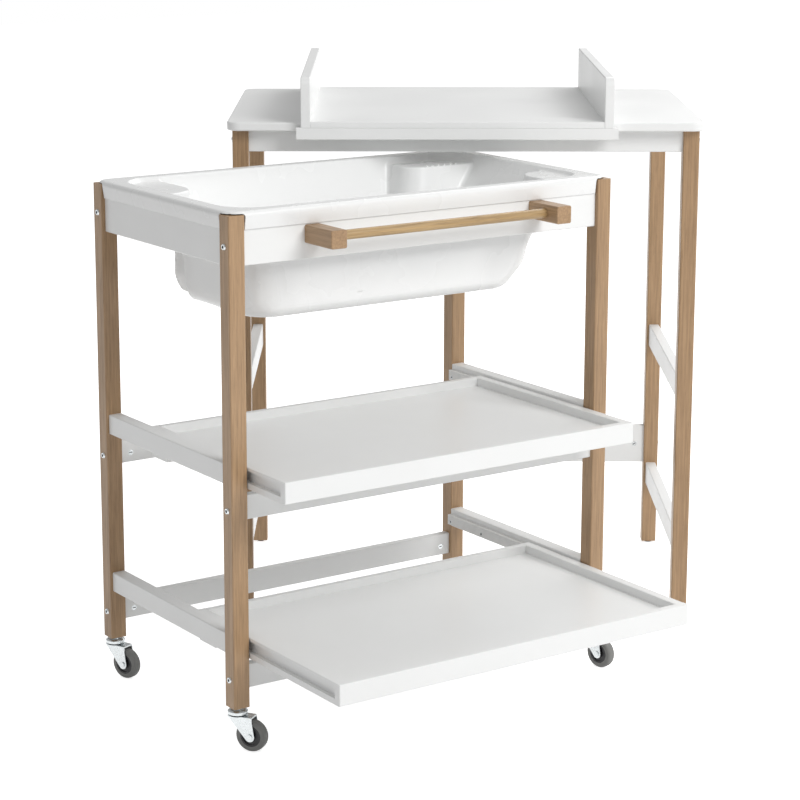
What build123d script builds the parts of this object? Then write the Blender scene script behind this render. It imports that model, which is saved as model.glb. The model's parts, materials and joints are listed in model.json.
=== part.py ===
from build123d import *
import os

# Changing table with a bath trolley. Millimetres, Z up, the floor at zero.
# The trolley stands square to the axes, its handle towards -Y.
# The table stands turned behind it, with one corner of the trolley under its top.

# Clearances that all groups share
SEAT_GAP = 0.3            # a loose piece above what carries it
PIN_GAP = 0.06            # round a pin that turns in its hole
HOLE_GAP = 0.15           # round a bolt, screw or dowel in its hole
OVERRUN = 5.0             # how far a cut runs past the solid

# Timber that both frames use
LEG = 30.0
LEG_ROUND = 2.5
BOARD = 16.0
BOARD_SETBACK = 7.0       # board face behind the face of the leg
BOARD_EASE = 1.2          # softened long edges of boards

# Bolts with barrel nuts that pull a board against a leg
BOLT_R = 3.0
BOLT_HEAD_R = 5.5
BOLT_HEAD_H = 2.2
BOLT_SOCKET_R = 2.6
BOLT_SOCKET_DEPTH = 1.4
NUT_R = 5.0
NUT_LENGTH = 12.0
NUT_INSET = 20.0          # nut behind the end of the board

# Table
TABLE_LENGTH = 880.0
TABLE_DEPTH = 606.0
TABLE_HEIGHT = 966.0
TOP_THICK = 16.0
TOP_CORNER = 25.0
TOP_EDGE = 3.0
TABLE_LEG_SIDE = 9.5      # leg behind the end of the top
TABLE_LEG_FRONT = 22.0
TABLE_LEG_BACK = 22.0
GLIDE_R = 7.5
GLIDE_HEIGHT = 4.0
TABLE_APRON_HEIGHT = 41.0
TABLE_BOLT_DROP = 20.0    # bolt below the underside of the top
TABLE_RAIL_THICK = 20.0
TABLE_RAIL_HEIGHT = 45.0
TABLE_RAIL_LOW = 133.0    # underside above the floor
TABLE_RAIL_HIGH = 432.0
BACK_BOARD_LOW = 177.0
BACK_BOARD_HEIGHT = 80.0

# Where the table stands beside the trolley
TABLE_TURN = -34.23       # degrees about Z
TABLE_FRONT_X = 301.8     # middle of the table's front edge
TABLE_FRONT_Y = 82.8
TROLLEY_HEADROOM = 10.0   # bath rim below the table's apron

# Changing tray that lies on the table
CHANGER_SHIFT = -17.0     # its middle from the table's middle
CHANGER_WIDTH = 572.0
CHANGER_FLOOR = 3.2
WING_THICK = 18.0
WING_HEIGHT = 84.0        # above the table top
WING_CORNER = 15.0
WING_EASE = 2.0
LIP_THICK = 18.0
LIP_WIDTH = 588.0
LIP_HEIGHT = 22.0
LIP_DROP = 7.5            # top of the lip below the table top

# Trolley frame
TROLLEY_LENGTH = 776.0
TROLLEY_DEPTH = 460.0
LEG_BOTTOM = 73.9
APRON_HEIGHT = 84.5
APRON_BOLT_RISE = 32.5    # bolt above the apron's underside
STRETCHER_HEIGHT = 41.5
STRETCHER_BOLT_RISE = 17.0
LOW_STRETCHER = 104.6     # underside above the floor
MID_STRETCHER = 392.8
TRAY_RAIL_THICK = 25.0
TRAY_RAIL_HEIGHT = 35.0
LOW_TRAY_RAIL = 161.9
MID_TRAY_RAIL = 450.7

# Runners on the tray rails
RUNNER_THICK = 8.5
RUNNER_HEIGHT = 19.5
RUNNER_RISE = 5.0         # above the underside of the rail
SCREW_R = 1.75
SCREW_HEAD_R = 3.6
SCREW_HEAD_H = 1.6
SCREW_LENGTH = 18.0
RUNNER_SCREW_RISE = 11.5
RUNNER_SCREW_SHARES = (-0.95, -0.45, 0.45, 0.95)

# Trays
TRAY_SIDE_GAP = 1.5
TRAY_HEIGHT = 36.0
TRAY_REAR_GAP = 14.0      # tray shorter than the trolley is deep
TRAY_FRONT_THICK = 14.0
TRAY_SIDE_THICK = 18.0
TRAY_BACK_THICK = 12.0
TRAY_FLOOR_THICK = 8.0
TRAY_FLOOR_DROP = 15.5    # floor below the tray's top edge
TRAY_EASE = 1.0
GROOVE_DEPTH = 9.0
GROOVE_HEIGHT = 20.3
GROOVE_RISE = 10.0        # above the tray's underside
STOP_LENGTH = 54.0
STOP_INSET = 10.5         # in front of the tray's rear end
STOP_CATCH = 4.0          # how far it reaches below the stretcher's top
MID_TRAY_OUT = 112.3      # pulled out from flush with the legs
LOW_TRAY_OUT = 268.3

# Handle
HANDLE_BLOCK = 30.0       # square section
HANDLE_REACH = 80.0
HANDLE_HALF_SPAN = 227.0  # from the middle to the middle of a block
HANDLE_RISE = 41.5        # middle above the apron's underside
HANDLE_ROUND = 3.0
BAR_R = 8.2
BAR_SETBACK = 36.0        # middle behind the block's front
BAR_SEAT = 11.0           # how far it goes into a block
HANDLE_SCREW_R = 2.5
HANDLE_SCREW_HEAD_R = 5.0
HANDLE_SCREW_HEAD_H = 2.5
HANDLE_SCREW_SPREAD = 8.0
HANDLE_SCREW_LENGTH = 40.0

# Bath tub
RIM_WALL = 3.5
RIM_LIFT = 2.0            # underside of the rim above the leg tops
RIM_CORNER = 25.0
RIM_ROUND = 8.0
SKIRT_DEPTH = 29.6        # below the top of the rim
SKIRT_INSET = 4.2
SKIRT_WALL = 2.4
ARCH_GAP = 2.6            # round a leg, where the skirt is cut away
ARCH_CORNER = 6.0
BOWL_WALL = 3.5
BOWL_SIDE_GAP = 4.0       # bowl inside the aprons
BOWL_DEPTH = 192.7        # outside, below the top of the rim
BOWL_CORNER = 60.0
BOWL_SLOPE_LEFT = 56.0    # how far the wall comes in at the bottom
BOWL_SLOPE_RIGHT = 112.0
BOWL_SLOPE_SIDE = 37.0
BOWL_FLOOR_ROUND = 26.0
BOWL_LIP_ROUND = 4.0
LEDGE_DRAFT = 5.0         # degrees
LEDGE_ROUND = 3.0
LEDGE_BLEND = 9.0         # where a ledge meets the walls
HEAD_DISH_LENGTH = 62.0   # dish at the backrest
HEAD_DISH_WIDTH = 128.0
HEAD_DISH_CORNER = 45.0
FOOT_DISH_LENGTH = 82.0   # dish at the other end
FOOT_DISH_WIDTH = 150.0
FOOT_DISH_CORNER = 60.0
DISH_DROP = 7.5           # below the rim
SHELF_LENGTH = 150.0
SHELF_WIDTH = 76.0
SHELF_CORNER = 38.0
SHELF_DROP = 14.5
STUD_COUNT = 6            # small bumps along the front of the shelf
STUD_R = 2.4
STUD_PITCH = 13.0
STUD_INSET = 4.5
DRAIN_MARGIN = 3.0        # flange inside the flat of the floor
DRAIN_BARREL_R = 19.0
DRAIN_FLANGE_R = 29.0
DRAIN_FLANGE_H = 2.0
DRAIN_NUT_R = 26.0
DRAIN_NUT_H = 4.5
DRAIN_BORE_R = 14.0
PLUG_GAP = 0.4
PLUG_CAP_R = 18.0
PLUG_CAP_H = 2.5
PLUG_DEPTH = 6.0
PLUG_KNOB_R = 5.0
PLUG_KNOB_H = 10.0

# Casters
WHEEL_R = 27.0
WHEEL_WIDTH = 17.0
TYRE_THICK = 9.0
TYRE_ROUND = 5.0
HUB_RECESS = 2.0
HUB_RIM = 3.0
HUB_BOSS_R = 6.5
AXLE_R = 3.0
AXLE_HEAD_R = 4.6
AXLE_HEAD_H = 1.6
CASTER_TRAIL = 25.8
FORK_SHEET = 2.2
FORK_WHEEL_GAP = 1.3      # between the tyre and the side plate
FORK_DROP = 14.0          # top of the fork below the leg
FORK_FRONT = 14.0         # plate ahead of the kingpin
FORK_END_R = 8.5
STEM_R = 4.0
STEM_SEAT = 32.0          # how far it goes up into the leg
STEM_COLLAR_R = 8.5
STEM_COLLAR_H = 4.5
RACE_R = 17.0
RACE_ROUND = 3.0
RACE_GAP = 0.4            # between the raceway and the fork
KINGPIN_HEAD_R = 7.0
KINGPIN_HEAD_H = 2.0
FRONT_LEFT_TURN = -55.5   # degrees, towards which the wheel trails
FRONT_RIGHT_TURN = -78.6
BACK_LEFT_TURN = -68.8
BACK_RIGHT_TURN = -70.0

# Places worked out from the sizes above
TOP_UNDER = TABLE_HEIGHT - TOP_THICK
TABLE_LEG_X = TABLE_LENGTH / 2 - TABLE_LEG_SIDE - LEG / 2
TABLE_FRONT_LEG_Y = TABLE_LEG_FRONT + LEG / 2
TABLE_BACK_LEG_Y = TABLE_DEPTH - TABLE_LEG_BACK - LEG / 2
TRAY_DEPTH = TROLLEY_DEPTH - TRAY_REAR_GAP
RIM_TOP = TOP_UNDER - TABLE_APRON_HEIGHT - TROLLEY_HEADROOM
RIM_UNDER = RIM_TOP - RIM_WALL
LEG_TOP = RIM_UNDER - RIM_LIFT
APRON_TOP = RIM_UNDER - SEAT_GAP
APRON_BOTTOM = APRON_TOP - APRON_HEIGHT
SKIRT_BOTTOM = RIM_TOP - SKIRT_DEPTH
BOWL_BOTTOM = RIM_TOP - BOWL_DEPTH
FORK_TOP = LEG_BOTTOM - FORK_DROP
LEG_X = TROLLEY_LENGTH / 2 - LEG / 2
LEG_Y = TROLLEY_DEPTH / 2 - LEG / 2
BOARD_Y = TROLLEY_DEPTH / 2 - BOARD_SETBACK - BOARD / 2
TRAY_WIDTH = 2 * (LEG_X - LEG / 2 - TRAY_SIDE_GAP)
BOWL_X = TROLLEY_LENGTH / 2 - BOARD_SETBACK - BOARD - BOWL_SIDE_GAP
BOWL_Y = TROLLEY_DEPTH / 2 - BOARD_SETBACK - BOARD - BOWL_SIDE_GAP
DRAIN_X = -BOWL_X + BOWL_SLOPE_LEFT + BOWL_FLOOR_ROUND + DRAIN_MARGIN + DRAIN_FLANGE_R
RUNNER_END = LEG_Y - LEG / 2
MIN_CORNER = (Align.MIN, Align.MIN, Align.MIN)
SIDES = {"left": -1, "right": 1}
ENDS = {"front": -1, "back": 1}


def block(low, high):
    """A box between two opposite corners."""
    size = [b - a for a, b in zip(low, high)]
    return Pos(*low) * Box(*size, align=MIN_CORNER)


def rod(start, end, radius):
    """A round bar between two points."""
    line = Vector(*end) - Vector(*start)
    return Solid.make_cylinder(radius, line.length, Plane(origin=start, z_dir=line))


def eased(solid, axis, size):
    """The same solid with its edges along one axis chamfered."""
    return chamfer(solid.edges().filter_by(axis), size)


def turned(outline):
    """A solid of revolution about Z, from points given as radius and height."""
    return revolve(Plane.XZ * make_face(Polyline(*outline, close=True)), Axis.Z)


# Bolted joints: a bolt through a leg, into a barrel nut in the board's end
def bolt(face_x, side, y, z):
    """A bolt whose head lies on the outer face of a leg."""
    tip = face_x - side * (LEG + NUT_INSET + NUT_R)
    head_end = face_x + side * BOLT_HEAD_H
    head = rod((face_x, y, z), (head_end, y, z), BOLT_HEAD_R)
    head = chamfer(head.edges().sort_by(Axis.X)[-1 if side > 0 else 0], BOLT_HEAD_H / 3)
    socket = RegularPolygon(BOLT_SOCKET_R, 6)
    socket = Plane(origin=(head_end, y, z), z_dir=(-side, 0, 0)) * socket
    return head - extrude(socket, BOLT_SOCKET_DEPTH) + rod((face_x, y, z), (tip, y, z), BOLT_R)


def bolt_hole(face_x, side, y, z):
    """The hole for a bolt, from outside the leg to past its tip."""
    tip = face_x - side * (LEG + NUT_INSET + NUT_R + HOLE_GAP)
    return rod((face_x + side * OVERRUN, y, z), (tip, y, z), BOLT_R + HOLE_GAP)


def nut_places(inner_face_x, side, y, inward):
    """Both ends of a barrel nut that is let in from the board's inner face."""
    x = inner_face_x - side * NUT_INSET
    mouth = y + inward * BOARD / 2
    return (x, mouth), (x, mouth - inward * NUT_LENGTH)


def barrel_nut(face_x, side, y, z, inward):
    (x, mouth), (x, end) = nut_places(face_x - side * LEG, side, y, inward)
    nut = rod((x, mouth, z), (x, end, z), NUT_R)
    return nut - bolt_hole(face_x, side, y, z)


def nut_hole(face_x, side, y, z, inward):
    (x, mouth), (x, end) = nut_places(face_x - side * LEG, side, y, inward)
    deeper = end - inward * HOLE_GAP
    return rod((x, mouth + inward * OVERRUN, z), (x, deeper, z), NUT_R + HOLE_GAP)


def bolted_board(leg_x, y, low, high, bolt_zs, inward):
    """A board between two legs, with the holes for its bolts and nuts."""
    reach = leg_x - LEG / 2
    board = block((-reach, y - BOARD / 2, low), (reach, y + BOARD / 2, high))
    board = eased(board, Axis.X, BOARD_EASE)
    for side in SIDES.values():
        face_x = side * (leg_x + LEG / 2)
        for z in bolt_zs:
            board -= bolt_hole(face_x, side, y, z)
            board -= nut_hole(face_x, side, y, z, inward)
    return board


def bolts_and_nuts(leg_x, joints):
    """The bolts and nuts of several boards, each given as y, z and inward side."""
    pieces = []
    for side in SIDES.values():
        face_x = side * (leg_x + LEG / 2)
        for y, z, inward in joints:
            pieces.append(bolt(face_x, side, y, z))
            pieces.append(barrel_nut(face_x, side, y, z, inward))
    return pieces


def leg(x, y, low, high, bolt_zs, side):
    """A square leg with rounded long edges and its bolt holes."""
    half = LEG / 2
    post = block((x - half, y - half, low), (x + half, y + half, high))
    post = fillet(post.edges().filter_by(Axis.Z), LEG_ROUND)
    for z in bolt_zs:
        post -= bolt_hole(x + side * half, side, y, z)
    return post


# Table
def table_joints():
    """Where the table's boards are bolted: y, z and the board's inner side."""
    high = TOP_UNDER - TABLE_BOLT_DROP
    low = BACK_BOARD_LOW + BACK_BOARD_HEIGHT / 2
    return [(TABLE_FRONT_LEG_Y, high, 1), (TABLE_BACK_LEG_Y, high, -1), (TABLE_BACK_LEG_Y, low, -1)]


def table_top():
    plate = Rectangle(TABLE_LENGTH, TABLE_DEPTH, align=(Align.CENTER, Align.MIN))
    plate = fillet(plate.vertices(), TOP_CORNER)
    plate = Pos(0, 0, TOP_UNDER) * extrude(plate, TOP_THICK)
    rims = plate.edges().group_by(Axis.Z)
    return fillet(rims[0] + rims[-1], TOP_EDGE)


def table_side_board(side, thick, low, height):
    """A board between the front and the back leg of one side."""
    middle = side * TABLE_LEG_X
    board = block(
        (middle - thick / 2, TABLE_FRONT_LEG_Y + LEG / 2, low),
        (middle + thick / 2, TABLE_BACK_LEG_Y - LEG / 2, low + height),
    )
    return eased(board, Axis.Y, BOARD_EASE)


def glide(x, y):
    return Pos(x, y, GLIDE_HEIGHT / 2) * Cylinder(GLIDE_R, GLIDE_HEIGHT)


def build_table():
    joints = table_joints()
    leg_ys = {"front": TABLE_FRONT_LEG_Y, "back": TABLE_BACK_LEG_Y}
    apron_low = TOP_UNDER - TABLE_APRON_HEIGHT
    nodes = {"table_top": [table_top()]}
    for end, y in leg_ys.items():
        bolt_zs = [z for at, z, _ in joints if at == y]
        for name, side in SIDES.items():
            post = leg(side * TABLE_LEG_X, y, GLIDE_HEIGHT, TOP_UNDER, bolt_zs, side)
            nodes[f"table_leg_{end}_{name}"] = [post]
        board = bolted_board(TABLE_LEG_X, y, apron_low, TOP_UNDER, bolt_zs[:1], -ENDS[end])
        nodes[f"table_apron_{end}"] = [board]
    for name, side in SIDES.items():
        board = table_side_board(side, BOARD, apron_low, TABLE_APRON_HEIGHT)
        nodes[f"table_apron_{name}"] = [board]
    for level, low in {"high": TABLE_RAIL_HIGH, "low": TABLE_RAIL_LOW}.items():
        nodes[f"table_rails_{level}"] = [
            table_side_board(side, TABLE_RAIL_THICK, low, TABLE_RAIL_HEIGHT)
            for side in SIDES.values()
        ]
    back_high = BACK_BOARD_LOW + BACK_BOARD_HEIGHT
    nodes["table_back_board"] = [
        bolted_board(TABLE_LEG_X, TABLE_BACK_LEG_Y, BACK_BOARD_LOW, back_high, [joints[2][1]], -1)
    ]
    nodes["table_glides"] = [
        glide(side * TABLE_LEG_X, y) for side in SIDES.values() for y in leg_ys.values()
    ]
    nodes["table_bolts"] = bolts_and_nuts(TABLE_LEG_X, joints)
    return nodes


# Changing tray, in the table's frame
def wing(side):
    """An upright side of the changing tray, with a rounded front corner."""
    outer = CHANGER_SHIFT + side * CHANGER_WIDTH / 2
    inner = outer - side * WING_THICK
    low = TABLE_HEIGHT + SEAT_GAP
    high = TABLE_HEIGHT + WING_HEIGHT
    left, right = min(outer, inner), max(outer, inner)
    panel = block((left, -LIP_THICK, low), (right, TABLE_DEPTH, high))
    nose = block((left, -LIP_THICK, TABLE_HEIGHT - LIP_DROP), (right, -SEAT_GAP, low))
    panel += nose
    corner = panel.edges().filter_by(Axis.X).group_by(Axis.Z)[-1].sort_by(Axis.Y)[0]
    panel = fillet(corner, WING_CORNER)
    top = panel.faces().filter_by(Plane.XY).sort_by(Axis.Z)[-1]
    return fillet(top.edges().filter_by(Axis.Y), WING_EASE)


def changer_lip():
    """The strip that hooks over the front edge of the table."""
    half = LIP_WIDTH / 2
    high = TABLE_HEIGHT - LIP_DROP
    strip = block(
        (CHANGER_SHIFT - half, -LIP_THICK, high - LIP_HEIGHT),
        (CHANGER_SHIFT + half, -SEAT_GAP, high),
    )
    strip = eased(strip, Axis.X, BOARD_EASE)
    inner = CHANGER_WIDTH / 2 - WING_THICK
    nose = block(
        (CHANGER_SHIFT - inner, -LIP_THICK, high),
        (CHANGER_SHIFT + inner, -SEAT_GAP, TABLE_HEIGHT + SEAT_GAP + CHANGER_FLOOR),
    )
    front = nose.edges().filter_by(Axis.X).group_by(Axis.Z)[-1].sort_by(Axis.Y)[0]
    return strip + fillet(front, WING_EASE)


def build_changer():
    inner = CHANGER_WIDTH / 2 - WING_THICK
    low = TABLE_HEIGHT + SEAT_GAP
    floor = block(
        (CHANGER_SHIFT - inner, -SEAT_GAP, low),
        (CHANGER_SHIFT + inner, TABLE_DEPTH, low + CHANGER_FLOOR),
    )
    return {
        "changer_floor": [floor],
        "changer_lip": [changer_lip()],
        "changer_wing_left": [wing(-1)],
        "changer_wing_right": [wing(1)],
    }


# Trolley frame
def trolley_joints():
    """Where the trolley's boards are bolted: y, z and the board's inner side."""
    heights = [
        LOW_STRETCHER + STRETCHER_BOLT_RISE,
        MID_STRETCHER + STRETCHER_BOLT_RISE,
        APRON_BOTTOM + APRON_BOLT_RISE,
    ]
    return [(end * BOARD_Y, z, -end) for end in ENDS.values() for z in heights]


def trolley_leg(side, end):
    x, y = side * LEG_X, end * LEG_Y
    post = leg(x, y, LEG_BOTTOM, LEG_TOP, [], side)
    for joint_y, z, inward in trolley_joints():
        if joint_y * end > 0:
            post -= bolt_hole(x + side * LEG / 2, side, joint_y, z)
    socket_end = LEG_BOTTOM + STEM_SEAT + HOLE_GAP
    return post - rod((x, y, LEG_BOTTOM - OVERRUN), (x, y, socket_end), STEM_R + HOLE_GAP)


def side_apron(side):
    outer = side * (TROLLEY_LENGTH / 2 - BOARD_SETBACK)
    inner = outer - side * BOARD
    reach = LEG_Y - LEG / 2
    board = block(
        (min(outer, inner), -reach, APRON_BOTTOM), (max(outer, inner), reach, APRON_TOP)
    )
    return eased(board, Axis.Y, BOARD_EASE)


def runner_screw_places(rail_low):
    """Screws along a runner, as y and z."""
    z = rail_low + RUNNER_SCREW_RISE
    return [(share * RUNNER_END, z) for share in RUNNER_SCREW_SHARES]


def runner_screw(side, y, z, gap):
    """A screw with a sunk head, or its hole where gap is more than zero."""
    face = side * (LEG_X - LEG / 2 - RUNNER_THICK)
    head_end = face + side * SCREW_HEAD_H
    tip = face + side * (SCREW_LENGTH + gap)
    mouth = face - side * gap
    head = rod((mouth, y, z), (head_end, y, z), SCREW_HEAD_R + gap)
    return head + rod((head_end - side * gap, y, z), (tip, y, z), SCREW_R + gap)


def tray_rail(side, low):
    """The rail of one side that carries a runner."""
    inner = side * (LEG_X - LEG / 2)
    outer = inner + side * TRAY_RAIL_THICK
    reach = LEG_Y - LEG / 2
    rail = block((min(inner, outer), -reach, low), (max(inner, outer), reach, low + TRAY_RAIL_HEIGHT))
    rail = eased(rail, Axis.Y, BOARD_EASE)
    for y, z in runner_screw_places(low):
        rail -= runner_screw(side, y, z, HOLE_GAP)
    return rail


def runner(side, low):
    """The strip on a rail that a tray's groove slides on."""
    face = side * (LEG_X - LEG / 2)
    inner = face - side * RUNNER_THICK
    bottom = low + RUNNER_RISE
    strip = block(
        (min(face, inner), -RUNNER_END, bottom),
        (max(face, inner), RUNNER_END, bottom + RUNNER_HEIGHT),
    )
    strip = chamfer(strip.faces().sort_by(Axis.X)[0 if side > 0 else -1].edges(), TRAY_EASE)
    for y, z in runner_screw_places(low):
        strip -= runner_screw(side, y, z, HOLE_GAP)
    return strip


def handle_front():
    """The Y of the front of the handle's blocks."""
    return -(BOARD_Y + BOARD / 2) - HANDLE_REACH


def handle_screws(side, gap):
    """Screws from inside the apron into one handle block, or their holes."""
    inner_face = -(BOARD_Y - BOARD / 2)
    x = side * HANDLE_HALF_SPAN
    pieces = []
    for shift in (-HANDLE_SCREW_SPREAD, HANDLE_SCREW_SPREAD):
        z = APRON_BOTTOM + HANDLE_RISE + shift
        head_out = inner_face + HANDLE_SCREW_HEAD_H
        tip = inner_face - HANDLE_SCREW_LENGTH - gap
        shank = rod((x, inner_face + gap, z), (x, tip, z), HANDLE_SCREW_R + gap)
        head = rod((x, inner_face, z), (x, head_out, z), HANDLE_SCREW_HEAD_R)
        pieces.append(shank if gap else shank + head)
    return pieces


def handle_bar(gap):
    """The round bar between the blocks, or its seat where gap is more than zero."""
    reach = HANDLE_HALF_SPAN - HANDLE_BLOCK / 2 + BAR_SEAT + gap
    y = handle_front() + BAR_SETBACK
    z = APRON_BOTTOM + HANDLE_RISE
    return rod((-reach, y, z), (reach, y, z), BAR_R + gap)


def handle_block(side):
    half = HANDLE_BLOCK / 2
    x = side * HANDLE_HALF_SPAN
    z = APRON_BOTTOM + HANDLE_RISE
    piece = block((x - half, handle_front(), z - half), (x + half, -(BOARD_Y + BOARD / 2), z + half))
    piece = fillet(piece.edges().filter_by(Axis.Y), HANDLE_ROUND)
    front = piece.faces().sort_by(Axis.Y)[0]
    piece = chamfer(front.edges(), BOARD_EASE)
    piece -= handle_bar(HOLE_GAP)
    for screw in handle_screws(side, HOLE_GAP):
        piece -= screw
    return piece


def build_trolley_frame():
    joints = trolley_joints()
    heights = [z for y, z, _ in joints if y > 0]
    nodes = {}
    for end_name, end in ENDS.items():
        for side_name, side in SIDES.items():
            nodes[f"trolley_leg_{end_name}_{side_name}"] = [trolley_leg(side, end)]
        apron = bolted_board(LEG_X, end * BOARD_Y, APRON_BOTTOM, APRON_TOP, heights[2:], -end)
        if end < 0:
            for side in SIDES.values():
                for screw in handle_screws(side, HOLE_GAP):
                    apron -= screw
        nodes[f"trolley_apron_{end_name}"] = [apron]
    for side_name, side in SIDES.items():
        nodes[f"trolley_apron_{side_name}"] = [side_apron(side)]
    levels = {"low": (LOW_STRETCHER, LOW_TRAY_RAIL), "mid": (MID_STRETCHER, MID_TRAY_RAIL)}
    for index, (level, (stretcher_low, rail_low)) in enumerate(levels.items()):
        high = stretcher_low + STRETCHER_HEIGHT
        nodes[f"trolley_stretchers_{level}"] = [
            bolted_board(LEG_X, end * BOARD_Y, stretcher_low, high, [heights[index]], -end)
            for end in ENDS.values()
        ]
        nodes[f"tray_rails_{level}"] = [tray_rail(side, rail_low) for side in SIDES.values()]
        nodes[f"tray_runners_{level}"] = [runner(side, rail_low) for side in SIDES.values()]
    nodes["runner_screws"] = [
        runner_screw(side, y, z, 0)
        for side in SIDES.values()
        for rail_low in (LOW_TRAY_RAIL, MID_TRAY_RAIL)
        for y, z in runner_screw_places(rail_low)
    ]
    nodes["trolley_bolts"] = bolts_and_nuts(LEG_X, joints)
    nodes["handle_bar"] = [handle_bar(0)]
    nodes["handle_screws"] = handle_screws(-1, 0) + handle_screws(1, 0)
    for side_name, side in SIDES.items():
        nodes[f"handle_block_{side_name}"] = [handle_block(side)]
    return nodes


# Trays, whose grooves run on the runners
def tray_low(rail_low):
    """Underside of a tray whose groove hangs on the runners of a rail."""
    groove_top = rail_low + RUNNER_RISE + RUNNER_HEIGHT + SEAT_GAP
    return groove_top - GROOVE_HEIGHT - GROOVE_RISE


def tray_side(side, front, low):
    """A side board with the runner's groove in its outer face."""
    outer = side * TRAY_WIDTH / 2
    inner = outer - side * TRAY_SIDE_THICK
    start = front + TRAY_FRONT_THICK
    rear = front + TRAY_DEPTH
    board = block((min(outer, inner), start, low), (max(outer, inner), rear, low + TRAY_HEIGHT))
    top = board.faces().sort_by(Axis.Z)[-1]
    board = chamfer(top.edges().filter_by(Axis.Y), TRAY_EASE)
    groove = block(
        (min(outer, outer - side * GROOVE_DEPTH), start, low + GROOVE_RISE),
        (max(outer, outer - side * GROOVE_DEPTH), rear, low + GROOVE_RISE + GROOVE_HEIGHT),
    )
    return board - groove


def stop_block(side, rear, low, stretcher_top):
    """The block under a tray's side that meets the front stretcher."""
    outer = side * TRAY_WIDTH / 2
    inner = outer - side * TRAY_SIDE_THICK
    end = rear - STOP_INSET
    piece = block(
        (min(outer, inner), end - STOP_LENGTH, stretcher_top - STOP_CATCH), (max(outer, inner), end, low)
    )
    bottom = piece.faces().sort_by(Axis.Z)[0]
    return chamfer(bottom.edges().filter_by(Axis.X), TRAY_EASE)


def build_tray(level, rail_low, stretcher_low, out):
    low = tray_low(rail_low)
    front = -TROLLEY_DEPTH / 2 - out
    rear = front + TRAY_DEPTH
    half = TRAY_WIDTH / 2
    inside = half - TRAY_SIDE_THICK
    stretcher_top = stretcher_low + STRETCHER_HEIGHT
    panel = block((-half, front, low), (half, front + TRAY_FRONT_THICK, low + TRAY_HEIGHT))
    panel = chamfer(panel.faces().sort_by(Axis.Y)[0].edges(), TRAY_EASE)
    back = block((-inside, rear - TRAY_BACK_THICK, low), (inside, rear, low + TRAY_HEIGHT))
    back = chamfer(back.faces().sort_by(Axis.Z)[-1].edges().filter_by(Axis.X), TRAY_EASE)
    floor_top = low + TRAY_HEIGHT - TRAY_FLOOR_DROP
    floor = block(
        (-inside, front + TRAY_FRONT_THICK, floor_top - TRAY_FLOOR_THICK),
        (inside, rear - TRAY_BACK_THICK, floor_top),
    )
    frame = [tray_side(side, front, low) for side in SIDES.values()] + [back]
    frame += [stop_block(side, rear, low, stretcher_top) for side in SIDES.values()]
    return {
        f"{level}_tray_front": [panel],
        f"{level}_tray_frame": frame,
        f"{level}_tray_floor": [floor],
    }


# Bath tub
def rounded_sheet(low_x, high_x, half_y, corner, z):
    """A rounded rectangle at height z, even about the X axis."""
    sheet = RectangleRounded(high_x - low_x, 2 * half_y, corner)
    return Pos((low_x + high_x) / 2, 0, z) * sheet


def rim_block(inset, top, corner, edge):
    """The rim's outer form, drawn in by an inset, down past the skirt's end."""
    length = TROLLEY_LENGTH / 2 - inset
    depth = TROLLEY_DEPTH / 2 - inset
    at_top = rounded_sheet(-length, length, depth, corner, top)
    low = rounded_sheet(
        SKIRT_INSET - length, length - SKIRT_INSET, depth - SKIRT_INSET, corner, SKIRT_BOTTOM
    )
    body = loft([low, at_top], ruled=True)
    return fillet(body.edges().group_by(Axis.Z)[-1], edge)


def bowl(wall):
    """The basin's form: its outside, or its hollow where wall is more than zero."""
    half_x = BOWL_X - wall
    half_y = BOWL_Y - wall
    corner = BOWL_CORNER - wall
    top = rounded_sheet(-half_x, half_x, half_y, corner, RIM_TOP)
    bottom = rounded_sheet(
        BOWL_SLOPE_LEFT - half_x,
        half_x - BOWL_SLOPE_RIGHT,
        half_y - BOWL_SLOPE_SIDE,
        corner,
        BOWL_BOTTOM + wall,
    )
    form = loft([bottom, top], ruled=True)
    return fillet(form.edges().group_by(Axis.Z)[0], BOWL_FLOOR_ROUND - wall)


def corner_step(side, end, length, width, corner, drop, wall):
    """What fills one corner of the basin under a dish or shelf."""
    low_x = BOWL_X - BOWL_WALL - length + wall
    low_y = BOWL_Y - BOWL_WALL - width + wall
    reach = (BOWL_X + OVERRUN - low_x, BOWL_Y + OVERRUN - low_y)
    plan = Rectangle(*reach, align=(Align.MIN, Align.MIN))
    inner = plan.vertices().sort_by_distance((0, 0))[0]
    plan = Pos(low_x, low_y) * fillet(inner, max(corner - wall, BOWL_WALL))
    top = RIM_TOP - drop - wall
    step = extrude(Pos(0, 0, top) * plan, BOWL_BOTTOM - OVERRUN - top, taper=-LEDGE_DRAFT)
    step = fillet(step.edges().group_by(Axis.Z)[-1], LEDGE_ROUND)
    if side < 0:
        step = mirror(step, Plane.YZ)
    if end < 0:
        step = mirror(step, Plane.XZ)
    return step


def corner_steps(wall):
    """The dishes at two corners of the bath and the shelf at a third."""
    head = (HEAD_DISH_LENGTH, HEAD_DISH_WIDTH, HEAD_DISH_CORNER, DISH_DROP, wall)
    foot = (FOOT_DISH_LENGTH, FOOT_DISH_WIDTH, FOOT_DISH_CORNER, DISH_DROP, wall)
    shelf = (SHELF_LENGTH, SHELF_WIDTH, SHELF_CORNER, SHELF_DROP, wall)
    return [corner_step(1, -1, *head), corner_step(-1, 1, *foot), corner_step(1, 1, *shelf)]


def basin_hollow():
    """The space in the basin, blended where the ledges meet its walls."""
    walls = bowl(BOWL_WALL)
    steps = corner_steps(0)
    hollow = walls
    for step in steps:
        hollow -= step
    seams = new_edges(walls, *steps, combined=hollow)
    upright = [edge for edge in seams if edge.bounding_box().size.Z > BOWL_DEPTH / 2]
    return fillet(upright, LEDGE_BLEND)


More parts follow.
